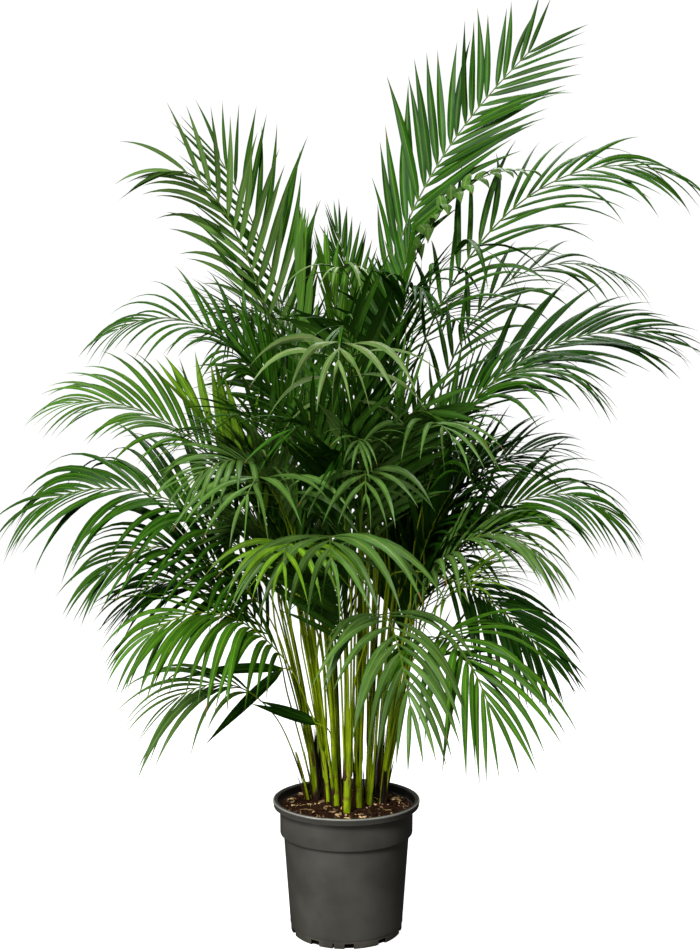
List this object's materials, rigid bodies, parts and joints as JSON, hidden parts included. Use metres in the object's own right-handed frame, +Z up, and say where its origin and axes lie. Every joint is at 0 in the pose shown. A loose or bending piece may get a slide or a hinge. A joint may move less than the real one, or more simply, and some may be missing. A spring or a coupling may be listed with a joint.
{
  "type": "potted palm",
  "caption": "Clumping feather palm with arching pinnate fronds on slender canes, growing in a tapered plastic nursery pot filled with bark potting mix.",
  "frame": {"origin": "centre of the pot's flat underside, on the surface it stands on", "axes": "+Z up through the pot's axis; -Y is the side that the picture shows; +X to the right of the picture"},
  "size_m": [1.1582, 0.9458, 1.5405],
  "materials": {
    "pot_plastic": "satin dark grey moulded plastic, faint moulding marks",
    "potting_mix": "dark composted bark with pale chips and fibres",
    "cane_skin": "smooth yellow-green stem with leaf-scar rings",
    "leaf_green": "waxy deep green leaf, parallel veins, pale midrib",
    "leaf_young": "waxy fresh yellow-green leaf"
  },
  "bodies": {
    "root": {"pot": "pot_plastic", "soil": "potting_mix", "cane_01": "cane_skin", "cane_02": "cane_skin", "cane_03": "cane_skin", "cane_04": "cane_skin", "cane_05": "cane_skin", "cane_06": "cane_skin", "cane_07": "cane_skin", "cane_08": "cane_skin", "cane_09": "cane_skin", "cane_10": "cane_skin", "cane_11": "cane_skin", "cane_12": "cane_skin", "cane_13": "cane_skin", "frond_tall_right": "leaf_green", "frond_left_fan_front": "leaf_green", "frond_left_fan_back": "leaf_green", "frond_long_right": "leaf_green", "frond_curled_young": "leaf_young", "frond_spear": "leaf_young", "frond_centre_up": "leaf_young", "frond_centre_up_right": "leaf_green", "frond_right_two": "leaf_green", "frond_right_three": "leaf_green", "frond_right_four": "leaf_green", "frond_right_five": "leaf_green", "frond_right_six": "leaf_green", "frond_right_seven": "leaf_green", "frond_right_eight": "leaf_green", "frond_front_top": "leaf_green", "frond_front_middle": "leaf_green", "frond_front_low": "leaf_green", "frond_front_bright": "leaf_young", "frond_front_right": "leaf_green", "frond_front_right_two": "leaf_green", "frond_front_left": "leaf_green", "frond_left_one": "leaf_green", "frond_left_bright": "leaf_young", "frond_left_two": "leaf_green", "frond_left_three": "leaf_green", "frond_left_four": "leaf_green", "frond_left_five": "leaf_green", "frond_left_six": "leaf_green", "frond_left_seven": "leaf_green", "frond_young_pair": "leaf_green", "frond_young_leaf": "leaf_green", "frond_centre_back": "leaf_green", "frond_arching_pair": "leaf_green", "frond_right_inner": "leaf_green", "frond_front_left_low": "leaf_green", "frond_front_right_high": "leaf_green", "frond_right_low": "leaf_young", "frond_back_left_high": "leaf_green", "frond_back_right_high": "leaf_green", "frond_back_left": "leaf_green", "frond_back_right": "leaf_green", "frond_back_low_left": "leaf_green", "frond_back_low_right": "leaf_green", "frond_back_middle": "leaf_green"}
  },
  "joints": []
}
